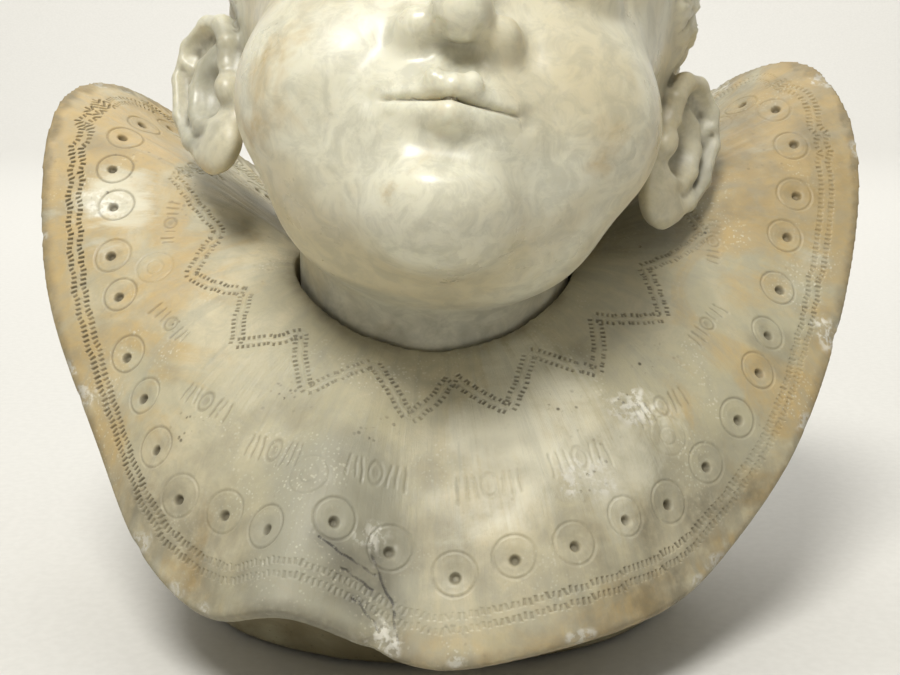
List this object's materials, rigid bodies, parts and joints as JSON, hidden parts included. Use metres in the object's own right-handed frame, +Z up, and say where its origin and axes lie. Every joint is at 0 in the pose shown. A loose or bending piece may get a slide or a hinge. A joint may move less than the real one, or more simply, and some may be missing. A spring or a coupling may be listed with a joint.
{
  "type": "marble child bust",
  "caption": "Carved stone bust of a child looking up from a wide flaring cape collar with punched eyelets, standing on a low oval foot.",
  "frame": {"origin": "middle of the felt pad's underside, where the oval foot stands", "axes": "+Z up, the face looks towards -Y, +X to the viewer's right when facing the bust"},
  "size_m": [0.2577, 0.2026, 0.2574],
  "materials": {
    "head_stone": "polished translucent white stone with ochre clouds",
    "collar_stone": "honed stone, punched and tooled, ochre and grey clouds",
    "foot_stone": "rough honed stone, darkened with age",
    "plaster": "cured plaster",
    "felt": "wool felt",
    "steel": "plain steel"
  },
  "bodies": {
    "root": {"head": "head_stone", "collar": "collar_stone", "foot": "foot_stone", "foot_bed": "plaster", "neck_bed": "plaster", "felt_pad": "felt", "neck_dowel": "steel", "neck_key_pin": "steel", "base_stud": "steel", "base_washer": "steel", "base_nut": "steel", "foot_key_pin_left": "steel", "foot_key_pin_right": "steel"}
  },
  "joints": []
}
